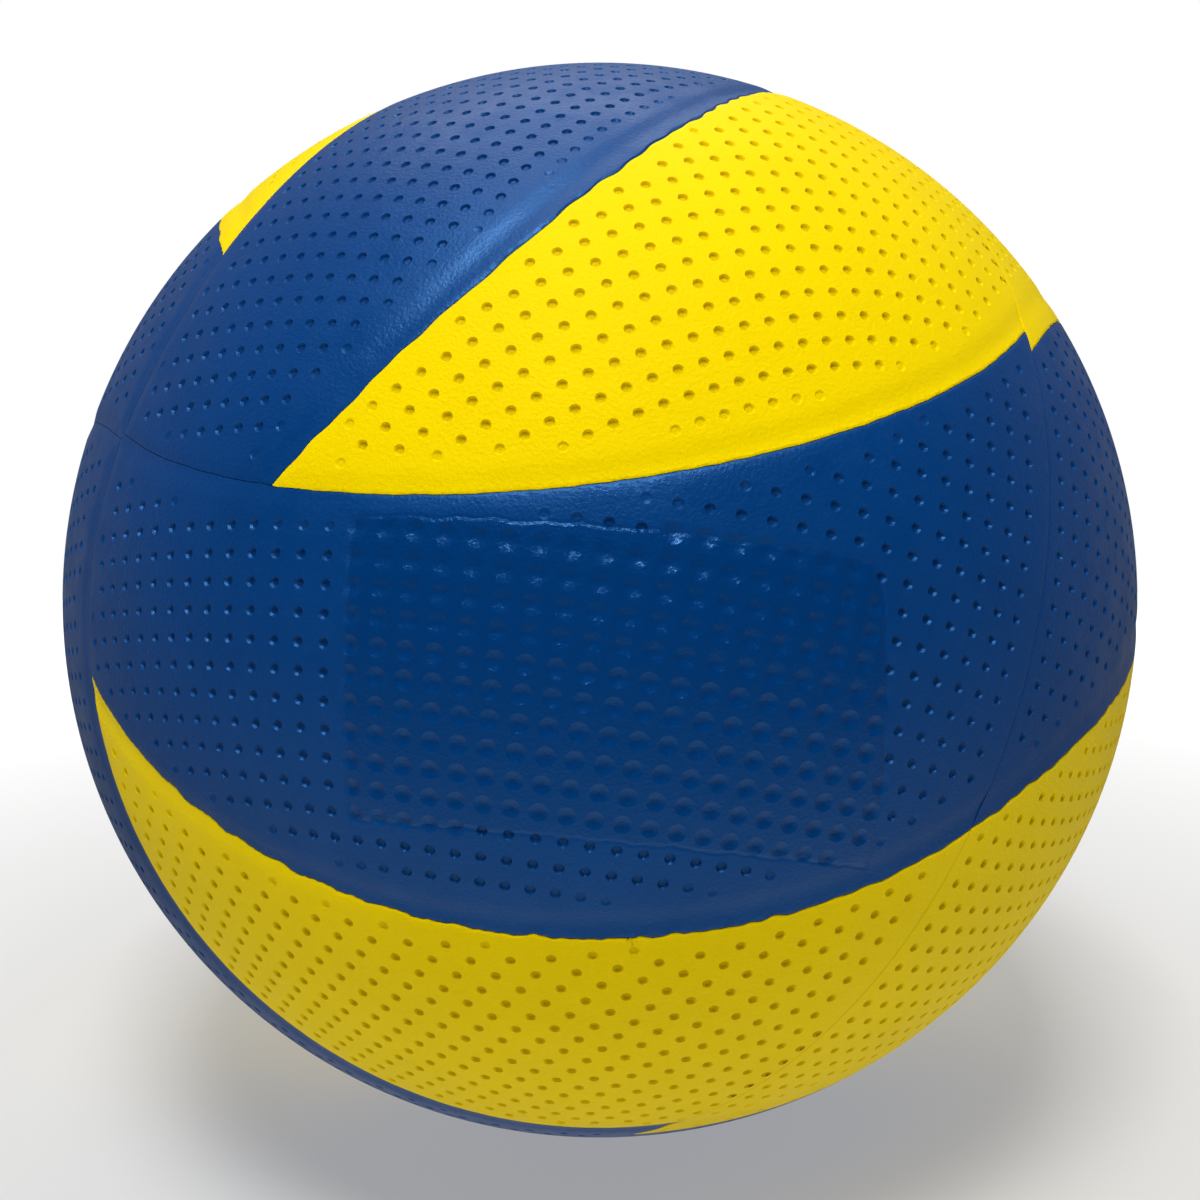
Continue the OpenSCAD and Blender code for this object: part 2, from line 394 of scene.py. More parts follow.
class Half:
    """Edges and mould grooves of one half of the ball, in the ball's frame."""

    def __init__(self, s, edges, back):
        self.turned = layout_to_ball(s)
        self.back = back
        self.pole = self.turned @ np.array([0, 0, -1 if back else 1])
        self.lefts = []
        self.rights = []
        self.corners = []
        self.groove_lefts = []
        self.groove_rights = []
        self.groove_sides = []
        groove_fold = s.groove_fold_turn
        for k in range(PANELS_ROUND + 1):
            left, right = edges[k % PANELS_ROUND]
            left_lean, left_turn, left_span = left
            right_lean, right_turn, right_span = right
            step = k * PANEL_STEP
            self.lefts.append(Circle(self.place(left_lean, left_turn + step, s.fold_turn), left_span))
            self.rights.append(Circle(self.place(right_lean, right_turn + step, s.fold_turn), right_span))
            self.corners.append(self.place(90, left_turn + step + PANEL_STEP / 2, s.fold_turn))
            self.groove_lefts.append(Circle(
                self.place(s.groove_left_span, s.groove_left_turn + step, groove_fold), s.groove_left_span))
            self.groove_rights.append(Circle(
                self.place(s.groove_right_lean, s.groove_right_turn + step, groove_fold),
                s.groove_right_span))
            self.groove_sides.append(self.place(90, s.groove_left_turn + 90 + step, groove_fold))

    def place(self, lean, turn, fold_turn):
        """Heading of the front layout, folded for the back half, in the ball's frame."""
        n = heading(lean, turn)
        return self.turned @ (fold(n, fold_turn) if self.back else n)


def ease(x):
    """Smooth step from 0 to 1."""
    x = np.clip(x, 0, 1)
    return x * x * (3 - 2 * x)


def groove_distances(half, v):
    """Signed distances, radians, to each mould groove, and how strongly each is there."""
    found = []
    for k in range(PANELS_ROUND):
        left = half.groove_lefts[k].inside(v)
        here = ease((GROOVE_START - v @ half.groove_sides[k]) / (2 * GROOVE_START))
        found.append((left, here))
        right = half.groove_rights[k].inside(v)
        before = half.groove_lefts[k + 1].inside(v)
        within = ease(left / GROOVE_FADE + 0.5) * ease(-before / GROOVE_FADE)
        found.append((right, within))
    return found


def wander(v, phase):
    """Soft wander of about one unit, the same wherever two sheets meet."""
    total = np.zeros(len(v))
    for height, waves, start in EDGE_WAVES:
        total += height * np.sin(v @ np.array(waves, float) + start + phase)
    return total


def ragged(s, half, v):
    """Moves the surface along itself near the hand-cut edges, so that they wander."""
    r = s.ball_d / 2
    reach = s.ragged_reach / r
    moved = v.copy()
    rise = np.abs(v @ half.pole) * r
    level = ease((rise - WANDER_START) / WANDER_RISE)[:, None]
    for k in range(PANELS_ROUND):
        left_in = half.lefts[k].inside(v)
        next_in = half.lefts[k + 1].inside(v)
        right_in = half.rights[k].inside(v)
        before = ease((WANDER_FADE - next_in) / WANDER_FADE)
        near = ease((WANDER_FADE + left_in) / WANDER_FADE) * before
        for circle, inside, there, (phase, scale) in (
                (half.lefts[k], left_in, before, LEFT_WANDER),
                (half.rights[k], right_in, near, RIGHT_WANDER)):
            push = np.exp(-(inside / reach) ** 2) * there * wander(v, phase) * scale * s.ragged / r
            away = circle.n[None, :] - (v @ circle.n)[:, None] * v
            away /= np.linalg.norm(away, axis=1)[:, None]
            moved += away * push[:, None] * level
    return moved / np.linalg.norm(moved, axis=1)[:, None]


def deselect_all():
    """Leaves edit mode and selects nothing."""
    if bpy.context.mode != "OBJECT":
        bpy.ops.object.mode_set(mode="OBJECT")
    bpy.ops.object.select_all(action="DESELECT")


def make_active(piece):
    """Selects one object and makes it the active one."""
    deselect_all()
    piece.select_set(True)
    bpy.context.view_layer.objects.active = piece


def points(piece):
    """Vertex places of a mesh, as rows."""
    co = np.empty(len(piece.data.vertices) * 3)
    piece.data.vertices.foreach_get("co", co)
    return co.reshape(-1, 3)


def set_points(piece, co):
    """Moves the vertices of a mesh."""
    piece.data.vertices.foreach_set("co", co.ravel())
    piece.data.update()


def units(co):
    """Directions of places seen from the ball's middle."""
    return co / np.linalg.norm(co, axis=1)[:, None]


def edit(piece):
    """Enters edit mode with the selection that is set."""
    make_active(piece)
    bpy.ops.object.mode_set(mode="EDIT")


def select_faces(piece, chosen):
    """Selects the faces that a list of truths names."""
    data = piece.data
    chosen = np.asarray(chosen, bool)
    sizes = np.empty(len(data.polygons), int)
    data.polygons.foreach_get("loop_total", sizes)
    of_chosen = np.repeat(chosen, sizes)
    data.polygons.foreach_set("select", chosen)
    for kind, index in ((data.vertices, "vertex_index"), (data.edges, "edge_index")):
        ends = np.empty(len(data.loops), int)
        data.loops.foreach_get(index, ends)
        picked = np.zeros(len(kind), bool)
        picked[ends[of_chosen]] = True
        kind.foreach_set("select", picked)
    data.update()


def face_middles(piece):
    """Middles of the faces of a mesh, as rows."""
    co = np.empty(len(piece.data.polygons) * 3)
    piece.data.polygons.foreach_get("center", co)
    return co.reshape(-1, 3)


def mould_ball(s):
    """Ball of the mould's dimple cells, its axis upright. Every sheet starts as a copy of it."""
    deselect_all()
    bpy.ops.mesh.primitive_uv_sphere_add(
        segments=GRID_MERIDIANS, ring_count=GRID_BANDS, radius=s.ball_d / 2, location=(0, 0, 0))
    ball = bpy.context.active_object
    ball.name = "mould_ball"
    return ball


def grid_axes(s, turn, nudge):
    """Middle, pole and end of a panel's dimple grid, in the ball's frame."""
    own = np.array(Euler([math.radians(a) for a in nudge]).to_matrix())
    regular = np.array([heading(90, turn), heading(90, turn + 90), heading(0, 0)]).T
    middle, end, pole = (layout_to_ball(s) @ regular @ own).T
    return middle, pole, end


def grid_place(axes, v):
    """Band and meridian angles of unit vectors on a panel's dimple grid."""
    middle, pole, end = axes
    return np.arcsin(np.clip(v @ end, -1, 1)), np.arctan2(v @ pole, v @ middle)


def grid_vector(axes, band, meridian):
    """Unit vectors at band and meridian angles of a panel's dimple grid."""
    middle, pole, end = axes
    across = np.cos(band)
    return ((across * np.cos(meridian))[:, None] * middle + (across * np.sin(meridian))[:, None] * pole
            + np.sin(band)[:, None] * end)


def cut_sheet(s, ball, name, axes, keeps):
    """Copies the mould ball, turns it to its panel, and cuts it along the sheet's edges."""
    middle, pole, end = axes
    make_active(ball)
    bpy.ops.object.duplicate()
    sheet = bpy.context.active_object
    sheet.name = name
    sheet.data.name = name
    sheet.matrix_world = Matrix(np.array([middle, -pole, end]).T.tolist()).to_4x4()
    bpy.ops.object.transform_apply(location=False, rotation=True, scale=False)

    margin = SPARE_CELLS * math.radians(360 / GRID_MERIDIANS)
    v = units(face_middles(sheet))
    far = np.zeros(len(v), bool)
    for each in keeps:
        far |= each.room(v) < -margin
    select_faces(sheet, far)
    edit(sheet)
    bpy.ops.mesh.delete(type="FACE")
    bpy.ops.mesh.select_all(action="SELECT")
    bpy.ops.mesh.subdivide(number_cuts=CELL_PARTS - 1, smoothness=0)
    bpy.ops.object.mode_set(mode="OBJECT")

    # Square up the cells to the mould's true pitch
    band, meridian = grid_place(axes, units(points(sheet)))
    band_part = math.radians(180 / GRID_BANDS) / CELL_PARTS
    meridian_part = 2 * math.pi / GRID_MERIDIANS / CELL_PARTS
    band = (np.round(band / band_part - HALF_CELL) + HALF_CELL) * math.radians(s.band_pitch) / CELL_PARTS
    meridian = np.round(meridian / meridian_part) * meridian_part
    r = s.ball_d / 2
    set_points(sheet, grid_vector(axes, band, meridian) * r)

    half_gap = s.seam_gap / 2 / r
    for each in keeps:
        circle = each.circle
        for inset in (s.crevice_w / r + half_gap, half_gap):
            cos = math.cos(circle.span - each.side * inset)
            select_faces(sheet, each.cuts(units(face_middles(sheet))))
            edit(sheet)
            bpy.ops.mesh.bisect(
                plane_co=tuple(circle.n * cos * r), plane_no=tuple(circle.n), use_fill=False,
                clear_inner=each.side > 0 and inset == half_gap,
                clear_outer=each.side < 0 and inset == half_gap, threshold=CUT_REACH)
            bpy.ops.object.mode_set(mode="OBJECT")
    edit(sheet)
    bpy.ops.mesh.select_all(action="SELECT")
    bpy.ops.mesh.remove_doubles(threshold=MERGE_REACH)
    bpy.ops.object.mode_set(mode="OBJECT")
    return sheet


def cell_parts(s, axes, v):
    """For each vertex: its place in its dimple cell, in parts, and its cell's middle."""
    band, meridian = grid_place(axes, v)
    band_part = math.radians(s.band_pitch) / CELL_PARTS
    meridian_part = 2 * math.pi / GRID_MERIDIANS / CELL_PARTS
    a = band / band_part
    b = meridian / meridian_part
    on_grid = (np.abs(a - np.round(a)) < ON_GRID) & (np.abs(b - np.round(b)) < ON_GRID)
    band_cell = np.round(a / CELL_PARTS) * CELL_PARTS
    meridian_cell = np.floor(np.round(b) / CELL_PARTS) * CELL_PARTS + HALF_CELL
    a = np.round(a - band_cell).astype(int)
    b = np.round(b - meridian_cell).astype(int)
    return a, b, on_grid, band_cell * band_part, meridian_cell * meridian_part


def dimple_cells(s, half, axes, keeps, band, meridian):
    """Share of its depth that each cell's dimple has: none on the grooves, the edges and the valve."""
    r = s.ball_d / 2
    v = grid_vector(axes, band, meridian)
    share = np.ones(len(v))
    for distance, here in groove_distances(half, v):
        off = np.clip((np.abs(distance) * r - s.blank_w) / s.blank_fade, 0, 1)
        share = np.minimum(share, np.where(here > GROOVE_CLEARS, off, 1))
    clear = share > LEAST_DIMPLE
    for each in keeps:
        clear &= each.room(v) * r > s.blank_edge
    clear &= np.abs(v @ half.pole) * r > s.blank_edge * EQUATOR_BLANK
    clear &= np.arccos(np.clip(v[:, 1], -1, 1)) * r > s.valve_blank_d / 2
    return np.where(clear, s.faint_dimple + (1 - s.faint_dimple) * share, 0)


def film_room(s, axes, v):
    """How far unit vectors lie within the border of the smooth film, metres."""
    band, meridian = grid_place(axes, v)
    corners = np.radians(np.array(FILM_CORNERS))
    across = math.cos(corners[:, 1].mean())
    room = np.ones(len(v))
    for first, second in zip(corners, np.roll(corners, -1, axis=0)):
        run = (second - first) * (across, 1)
        run /= np.linalg.norm(run)
        room = np.minimum(room, run[1] * (meridian - first[0]) * across - run[0] * (band - first[1]))
    return room * s.ball_d / 2


def shape_sheet(s, sheet, half, axes, keeps, is_blue, filmed):
    """Draws the dimples' rims round, lets the edges wander, closes the sheet and presses its relief."""
    r = s.ball_d / 2
    v = units(points(sheet))
    a, b, on_grid, band_mid, meridian_mid = cell_parts(s, axes, v)
    ring = np.maximum(np.abs(a), np.abs(b))
    share = dimple_cells(s, half, axes, keeps, band_mid, meridian_mid)
    dimpled = (share > 0) & on_grid & (ring < HALF_CELL)

    # Rings of a cell become circles
    wide = np.abs(a) >= np.abs(b)
    flat = np.where(wide, b, a) / np.maximum(ring, 1)
    angle = np.where(wide, np.where(a > 0, 0, math.pi) + flat * math.pi / 4 * np.sign(a),
                     np.where(b > 0, 1, -1) * math.pi / 2 - flat * math.pi / 4 * np.sign(b))
    cell_w = np.cos(band_mid) * 2 * math.pi / GRID_MERIDIANS
    rim = np.minimum(s.dimple_d / 2, WIDEST_DIMPLE * cell_w * r)
    ring = ring.clip(0, 2)
    size = np.choose(ring, (0 * rim, s.dimple_floor * rim, rim)) / r
    depth = np.where(dimpled, np.choose(ring, (s.dimple_t, s.dimple_wall * s.dimple_t, 0.0)), 0.0)
    depth = depth * share * rim / (s.dimple_d / 2) * (s.blue_dimple_share if is_blue else 1)
    # Painted shade in each dimple, as strong as the dimple is deep
    pit_shade = depth / s.dimple_t
    if filmed:
        # The film bridges each dimple, which leaves a wide soft dent
        under = dimpled & (film_room(s, axes, grid_vector(axes, band_mid, meridian_mid)) > 0)
        dent = s.film_dent * cell_w
        size = np.where(under, np.choose(ring, (0 * dent, DENT_RING * dent, dent)), size)
        dent_t = np.choose(ring, (s.film_dent_t, DENT_RING_T * s.film_dent_t, 0.0))
        depth = np.where(under, dent_t, depth)
        # A dent under the film keeps less of the painted shade
        pit_shade = np.where(under, DENT_SHADE_SHARE * pit_shade, pit_shade)
    new_band = band_mid + size * np.cos(angle)
    new_meridian = meridian_mid + size * np.sin(angle) / np.cos(band_mid)
    v[dimpled] = grid_vector(axes, new_band, new_meridian)[dimpled]

    smooth = v.copy()
    v = ragged(s, half, v)
    set_points(sheet, v * r)

    rim_edge = open_rim(sheet)
    make_active(sheet)
    wall = sheet.modifiers.new("wall", "SOLIDIFY")
    wall.thickness = s.cover_t
    wall.offset = -1
    bpy.ops.object.modifier_apply(modifier=wall.name)

    depth = depth + relief(s, half, smooth, keeps)
    room = np.full(len(v), -s.film_fade)
    if filmed:
        room = film_room(s, axes, smooth) + wander(smooth, FILM_PHASE) * s.film_wander
        depth = depth + s.film_crease_t * np.exp(-(room / s.film_crease_w) ** 2)
    # The pit attribute carries the painted shade in the dimples to the material
    for name, value in (("film", np.clip(room / s.film_fade, -1, 1)), ("pit_shade", pit_shade)):
        mark = sheet.data.attributes.new(name, "FLOAT", "POINT")
        mark.data.foreach_set("value", np.tile(value, 2))
    outer = v * (r - depth)[:, None]
    inner = v * (r - s.cover_t)
    set_points(sheet, np.concatenate([outer, inner]))

    # The hidden inner side needs few faces
    count = len(v)
    chosen = np.zeros(len(sheet.data.vertices), bool)
    chosen[count:] = ~rim_edge
    select_faces(sheet, np.zeros(len(sheet.data.polygons), bool))
    sheet.data.vertices.foreach_set("select", chosen)
    edit(sheet)
    bpy.ops.mesh.select_mode(type="VERT")
    bpy.ops.mesh.decimate(ratio=HIDDEN_SHARE)
    bpy.ops.object.mode_set(mode="OBJECT")


def open_rim(sheet):
    """Which vertices lie on the open edge of a surface."""
    data = sheet.data
    loops = np.empty(len(data.loops), int)
    data.loops.foreach_get("edge_index", loops)
    uses = np.bincount(loops, minlength=len(data.edges))
    ends = np.empty(len(data.edges) * 2, int)
    data.edges.foreach_get("vertices", ends)
    ends = ends.reshape(-1, 2)[uses == 1]
    rim = np.zeros(len(data.vertices), bool)
    rim[ends.ravel()] = True
    return rim


def relief(s, half, v, keeps):
    """Depth of the grooves, of the rounded rims and of the parting line, at unit vectors."""
    r = s.ball_d / 2
    sunk = np.zeros(len(v))
    out = ease((np.arccos(np.clip(v @ half.pole, -1, 1)) - CROWN_R) / CROWN_FADE)
    crown = s.crown_share + (1 - s.crown_share) * out
    seam = s.crown_seam_share + (1 - s.crown_seam_share) * out
    deepest = s.groove_t * (s.back_share if half.back else 1)
    for distance, here in groove_distances(half, v):
        x = distance * r / (s.groove_w / 2)
        sunk = np.maximum(sunk, deepest * here * crown * ease(1 - np.abs(x)))
    rounded = np.zeros(len(v))
    for each in keeps:
        gap = each.room(v) * r
        rounded = np.maximum(rounded, s.crevice_t * seam * np.clip(1 - gap / s.crevice_w, 0, 1))
    level = np.abs(v @ half.pole) * r
    parting = s.parting_t * np.exp(-(level / s.parting_w) ** 2)
    hole = np.arccos(np.clip(v[:, 1], -1, 1)) * r - s.valve_hole_d / 2
    lip = s.valve_lip_t * np.clip(1 - hole / s.valve_lip, 0, 1) ** 2
    return sunk + np.maximum(rounded, parting) + lip


def cover_sheet(s, ball, name, slot, half, axes, keeps):
    """Makes one cover sheet and puts it in the place of its CAD node."""
    sheet = cut_sheet(s, ball, name, axes, keeps + [Edge(Circle(half.pole, 90), 1)])
    shape_sheet(s, sheet, half, axes, keeps, slot == "blue_cover", name == FILMED_SHEET)
    if name == HOLED_SHEET:
        bore_valve_hole(s, sheet)
    make_active(sheet)
    bpy.ops.object.shade_smooth_by_angle(angle=SMOOTH_ANGLE)
    sheet.data.materials.clear()
    sheet.data.materials.append(bpy.data.materials[FINISH_NAMES[slot]])
    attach(sheet, "root")
    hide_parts(name.replace("_sheet_", "_panel_"))


def bore_valve_hole(s, sheet):
    """Cuts the round hole for the valve's nose."""
    deselect_all()
    bpy.ops.mesh.primitive_cylinder_add(
        vertices=72, radius=s.valve_hole_d / 2, depth=4 * s.cover_t,
        location=(0, s.ball_d / 2, 0), rotation=(math.pi / 2, 0, 0))
    bore = bpy.context.active_object
    make_active(sheet)
    cut = sheet.modifiers.new("valve_hole", "BOOLEAN")
    cut.object = bore
    cut.operation = "DIFFERENCE"
    cut.solver = "EXACT"
    bpy.ops.object.modifier_apply(modifier=cut.name)
    bpy.data.objects.remove(bore, do_unlink=True)


def pointed_keeps(half, k):
    """Edges of a sheet with a point near the pole."""
    return [Edge(half.lefts[k], 1), Edge(half.rights[k], -1)]


def broad_keeps(half, k):
    """Edges of a sheet that reaches the pole."""
    return [Edge(half.lefts[k], 1, half.corners[k]), Edge(half.lefts[k + 1], -1), Edge(half.rights[k], 1)]


def mould_half(s, edges, back):
    """Makes the eight cover sheets of one half. The back layout runs the other way round."""
    half = Half(s, edges, back)
    ball = mould_ball(s)
    side = "back" if back else "front"
    for k in range(PANELS_ROUND):
        spot = PANELS_ROUND - 1 - k if back else k
        pointed = pointed_keeps(half, spot)
        broad = broad_keeps(half, spot)
        yellow_axes = grid_axes(s, s.yellow_middle + k * PANEL_STEP, YELLOW_GRIDS[k])
        blue_axes = grid_axes(s, s.blue_middle + k * PANEL_STEP, BLUE_GRIDS[k])
        cover_sheet(s, ball, "yellow_sheet_%d_%s" % (k + 1, side), "yellow_cover", half, yellow_axes,
                    broad if back else pointed)
        cover_sheet(s, ball, "blue_sheet_%d_%s" % (k + 1, side), "blue_cover", half, blue_axes,
                    pointed if back else broad)
    bpy.data.objects.remove(ball, do_unlink=True)


def fresh_material(name):
    """Nodes, links and shader of a new material."""
    made = bpy.data.materials.new(name)
    made.use_nodes = True
    nodes = made.node_tree.nodes
    return nodes, made.node_tree.links, nodes["Principled BSDF"]


def noise(nodes, links, place, scale, detail, roughness=0.5):
    """Noise on object coordinates."""
    made = nodes.new("ShaderNodeTexNoise")
    made.inputs["Scale"].default_value = scale
    made.inputs["Detail"].default_value = detail
    made.inputs["Roughness"].default_value = roughness
    links.new(place, made.inputs["Vector"])
    return made.outputs["Fac"]


def ranged(nodes, links, value, low, high, from_low=0.3, from_high=0.7):
    """Maps a value, a noise as a rule, to a range."""
    made = nodes.new("ShaderNodeMapRange")
    made.inputs["From Min"].default_value = from_low
    made.inputs["From Max"].default_value = from_high
    made.inputs["To Min"].default_value = low
    made.inputs["To Max"].default_value = high
    links.new(value, made.inputs["Value"])
    return made.outputs["Result"]


def tinted(nodes, links, value, first, second):
    """Colour between two tones, the first of which may be a node's output."""
    made = nodes.new("ShaderNodeMix")
    made.data_type = "RGBA"
    links.new(value, made.inputs["Factor"])
    if isinstance(first, tuple):
        made.inputs["A"].default_value = (*first, 1)
    else:
        links.new(first, made.inputs["A"])
    made.inputs["B"].default_value = (*second, 1)
    return made.outputs["Result"]


def worked(nodes, links, operation, *values):
    """Result of one operation on the outputs of nodes."""
    made = nodes.new("ShaderNodeMath")
    made.operation = operation
    for value, socket in zip(values, made.inputs):
        links.new(value, socket)
    return made.outputs["Value"]


def marked(nodes, name):
    """Mark that a sheet's points carry."""
    made = nodes.new("ShaderNodeAttribute")
    made.attribute_name = name
    return made.outputs["Fac"]


def paled(colour, share, lift=0.0):
    """Share of a colour, lifted by a little grey."""
    return tuple(lift + share * x for x in colour)


def bumped(nodes, links, height, distance, strength, under=None):
    """Bump from a height in metres."""
    made = nodes.new("ShaderNodeBump")
    made.inputs["Distance"].default_value = distance
    made.inputs["Strength"].default_value = strength
    links.new(height, made.inputs["Height"])
    if under is not None:
        links.new(under, made.inputs["Normal"])
    return made.outputs["Normal"]


def cover_rubber(name, colour, pale, deep, rough_low, rough_high, grain, specular, tint):
    """Moulded cellular rubber: cloudy tone, uneven shine, fine pebbled grain and slow unevenness, with
    painted shade in the dimples.
    """
    nodes, links, shader = fresh_material(name)
    place = nodes.new("ShaderNodeTexCoord").outputs["Object"]
    cloud = ranged(nodes, links, noise(nodes, links, place, *CLOUDS), 0, 1)
    speck = ranged(nodes, links, noise(nodes, links, place, *SPECKS), 0, 0.35, from_low=0.55, from_high=0.8)
    film = marked(nodes, "film")
    inside = ranged(nodes, links, film, 0, 1, from_low=-0.05, from_high=0.1)
    pit_shade = ranged(nodes, links, marked(nodes, "pit_shade"), 0, 0.65, from_low=0.2, from_high=1)
    tone = tinted(nodes, links, cloud, deep, colour)
    tone = tinted(nodes, links, speck, tone, pale)
    tone = tinted(nodes, links, inside, tone, paled(deep, FILM_TONE))
    # Painted shade: the dimples darken towards a deeper tone
    tone = tinted(nodes, links, pit_shade, tone, paled(deep, PIT_SHADE_TONE))
    links.new(tone, shader.inputs["Base Color"])
    shine = ranged(nodes, links, noise(nodes, links, place, *UNEVEN_SHINE), rough_low, rough_high)
    smooth = nodes.new("ShaderNodeMix")
    links.new(inside, smooth.inputs["Factor"])
    links.new(shine, smooth.inputs["A"])
    smooth.inputs["B"].default_value = FILM_ROUGHNESS
    links.new(smooth.outputs["Result"], shader.inputs["Roughness"])
    off = worked(nodes, links, "ABSOLUTE", film)
    border = ranged(nodes, links, off, 0, 1, from_low=0, from_high=0.16)
    crease = bumped(nodes, links, border, *CREASE_BUMP)
    slow = bumped(nodes, links, noise(nodes, links, place, *SLOW_WAVES), *SLOW_BUMP, crease)
    fine = bumped(nodes, links, noise(nodes, links, place, *PEBBLES), PEBBLE_BUMP, grain, slow)
    links.new(fine, shader.inputs["Normal"])
    shader.inputs["Specular IOR Level"].default_value = specular
    shader.inputs["Specular Tint"].default_value = (*tint, 1)


def plain_rubber(name, colour, rough, grain_scale):
    """Dark rubber with talc haze and a fine grain."""
    nodes, links, shader = fresh_material(name)
    place = nodes.new("ShaderNodeTexCoord").outputs["Object"]
    talc = noise(nodes, links, place, scale=160, detail=5, roughness=0.65)
    haze = ranged(nodes, links, talc, low=0, high=0.5)
    links.new(tinted(nodes, links, haze, colour, paled(colour, 3, 0.02)), shader.inputs["Base Color"])
    uneven = noise(nodes, links, place, scale=300, detail=3)
    links.new(ranged(nodes, links, uneven, rough - 0.1, rough + 0.1), shader.inputs["Roughness"])
    grain = noise(nodes, links, place, grain_scale, detail=2)
    links.new(bumped(nodes, links, grain, distance=0.0001, strength=0.4), shader.inputs["Normal"])


def wound_thread(name, colour):
    """Thread wound in all directions round the ball and set in latex."""
    nodes, links, shader = fresh_material(name)
    place = nodes.new("ShaderNodeTexCoord").outputs["Object"]
    height = None
    for lean, turn in THREAD_TURNS:
        turned = nodes.new("ShaderNodeMapping")
        turned.inputs["Rotation"].default_value = (math.radians(lean), 0, math.radians(turn))
        links.new(place, turned.inputs["Vector"])
        wave = nodes.new("ShaderNodeTexWave")
        wave.bands_direction = "Z"
        wave.inputs["Scale"].default_value = 260
        wave.inputs["Distortion"].default_value = 1.5
        links.new(turned.outputs["Vector"], wave.inputs["Vector"])
        thread = wave.outputs["Fac"]
        height = thread if height is None else worked(nodes, links, "MAXIMUM", height, thread)
    raised = ranged(nodes, links, height, 0, 1, from_low=0.5, from_high=1)
    links.new(tinted(nodes, links, raised, paled(colour, 0.45), colour), shader.inputs["Base Color"])
    links.new(bumped(nodes, links, height, distance=0.0003, strength=0.6), shader.inputs["Normal"])
    shader.inputs["Roughness"].default_value = 0.7


class VOLLEYBALL_OT_rubbers(bpy.types.Operator):
    """Mix the rubbers and the thread that the ball is made of"""

    bl_idname = "volleyball.rubbers"
    bl_label = "Mix Rubbers"

    def execute(self, context):
        c = context.scene.volleyball_colours
        yellow = tuple(c.yellow)
        blue = tuple(c.blue)
        cover_rubber(
            FINISH_NAMES["yellow_cover"], yellow, pale=paled(yellow, 1.04), deep=paled(yellow, 0.95),
            rough_low=0.42, rough_high=0.58, grain=0.7, specular=0.07, tint=(1.0, 0.92, 0.05))
        cover_rubber(
            FINISH_NAMES["blue_cover"], blue, pale=paled(blue, 1.05, 0.01), deep=paled(blue, 0.9),
            rough_low=0.34, rough_high=0.5, grain=0.55, specular=0.65, tint=(0.14, 0.45, 1.0))
        for slot, colour, rough, grain_scale in (
                ("carcass", c.carcass, 0.7, 1400),
                ("bladder", c.bladder, 0.6, 700),
                ("valve_patch", c.valve, 0.65, 1600),
                ("valve_seat", c.valve, 0.45, 2200),
                ("valve_core", c.core, 0.4, 2600)):
            plain_rubber(FINISH_NAMES[slot], tuple(colour), rough, grain_scale)
        wound_thread(FINISH_NAMES["winding"], tuple(c.thread))
        return {"FINISHED"}


class VOLLEYBALL_OT_front_sheets(bpy.types.Operator):
    """Mould the front sheets: four pointed yellow ones and four broad blue ones that reach the pole"""

    bl_idname = "volleyball.front_sheets"
    bl_label = "Mould Front Sheets"

    def execute(self, context):
        mould_half(context.scene.volleyball_sizes, FRONT_EDGES, False)
        return {"FINISHED"}


class VOLLEYBALL_OT_back_sheets(bpy.types.Operator):
    """Mould the back sheets: four pointed blue ones and four broad yellow ones, one holed for the valve"""

    bl_idname = "volleyball.back_sheets"
    bl_label = "Mould Back Sheets"

    def execute(self, context):
        mould_half(context.scene.volleyball_sizes, BACK_EDGES, True)
        return {"FINISHED"}


class VOLLEYBALL_OT_inside(bpy.types.Operator):
    """Finish the layers and the valve under the cover, which keep their CAD shapes"""

    bl_idname = "volleyball.inside"
    bl_label = "Finish Layers and Valve"

    def execute(self, context):
        for node in ("carcass", "winding", "bladder", "valve_patch", "valve_seat", "valve_core"):
            piece = bpy.data.objects[node]
            finish = bpy.data.materials[FINISH_NAMES[node]]
            if not piece.material_slots:
                piece.data.materials.append(finish)
            for place in piece.material_slots:
                place.material = finish
        return {"FINISHED"}


class VOLLEYBALL_OT_stage(bpy.types.Operator):
    """Set the floor, the soft lights, the white surroundings and the camera of the photograph"""

    bl_idname = "volleyball.stage"
    bl_label = "Set Stage"

    def execute(self, context):
        s = context.scene.volleyball_sizes
        studio = context.scene.volleyball_studio
        place_floor(s, context.scene.volleyball_colours, studio)
        place_backdrop(studio)
        place_camera(s, studio)
        place_lights(studio)
        context.scene.view_settings.view_transform = "Standard"
        context.scene.view_settings.look = "None"
        return {"FINISHED"}


def place_floor(s, colours, studio):
    """Round pale floor that the ball stands on. It glows with painted light: dim near the ball, where it
    lifts the ball's shadow and lights the ball from below, and white at its rim like the backdrop behind
    it.
    """
    deselect_all()
    bpy.ops.mesh.primitive_circle_add(
        vertices=96, radius=studio.floor_r, fill_type="NGON", location=(0, 0, CAD_BOX[0][2]))
    floor = bpy.context.active_object
    floor.name = "floor"
    nodes, links, shader = fresh_material("floor_paper")
    spot = nodes.new("ShaderNodeTexCoord").outputs["Object"]
    tone = tuple(colours.floor)
    fleck = ranged(nodes, links, noise(nodes, links, spot, scale=3, detail=3), 0, 1)
    links.new(tinted(nodes, links, fleck, tone, paled(tone, 0.985)), shader.inputs["Base Color"])
    shader.inputs["Roughness"].default_value = 0.8
    # Painted light: the floor glows, dimmest near the ball and as bright as the backdrop at its rim
    shader.inputs["Emission Color"].default_value = (1, 1, 1, 1)
    away = nodes.new("ShaderNodeVectorMath")
    away.operation = "LENGTH"
    links.new(spot, away.inputs[0])
    glow = ranged(nodes, links, away.outputs["Value"], studio.floor_glow, studio.backdrop,
                  from_low=0.14, from_high=0.8 * studio.floor_r)
    links.new(glow, shader.inputs["Emission Strength"])
    floor.data.materials.append(bpy.data.materials["floor_paper"])
    floor.visible_glossy = False


